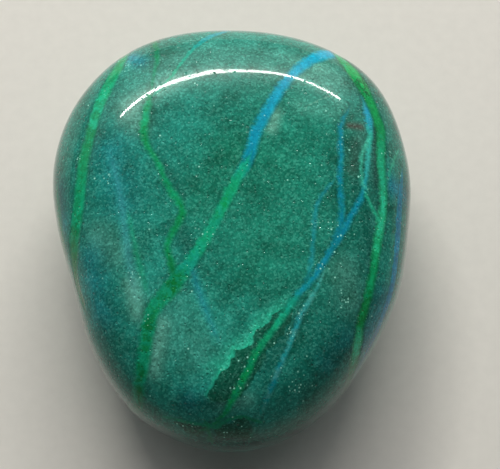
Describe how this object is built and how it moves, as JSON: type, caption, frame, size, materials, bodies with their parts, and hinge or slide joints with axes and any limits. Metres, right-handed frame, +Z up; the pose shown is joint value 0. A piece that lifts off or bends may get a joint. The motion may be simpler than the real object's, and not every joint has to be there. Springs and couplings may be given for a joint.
{
  "type": "tumble-polished chrysocolla pebble",
  "caption": "Egg-shaped, flattened polished stone pebble with a flat crown, soft shoulders and green and blue veins; rests on a small flat spot.",
  "frame": {"origin": "under the middle of the pebble's box, at the level of the flat spot it rests on", "axes": "+Z up, away from the resting spot; +Y along the pebble's length, towards its broad end; +X across its width"},
  "size_m": [0.0358, 0.043, 0.0174],
  "materials": {
    "polished_chrysocolla": "tumble-polished to a gloss; grainy teal-green quartz with opaque malachite-green and turquoise-blue veins"
  },
  "bodies": {
    "root": {"chrysocolla_pebble": "polished_chrysocolla"}
  },
  "joints": []
}
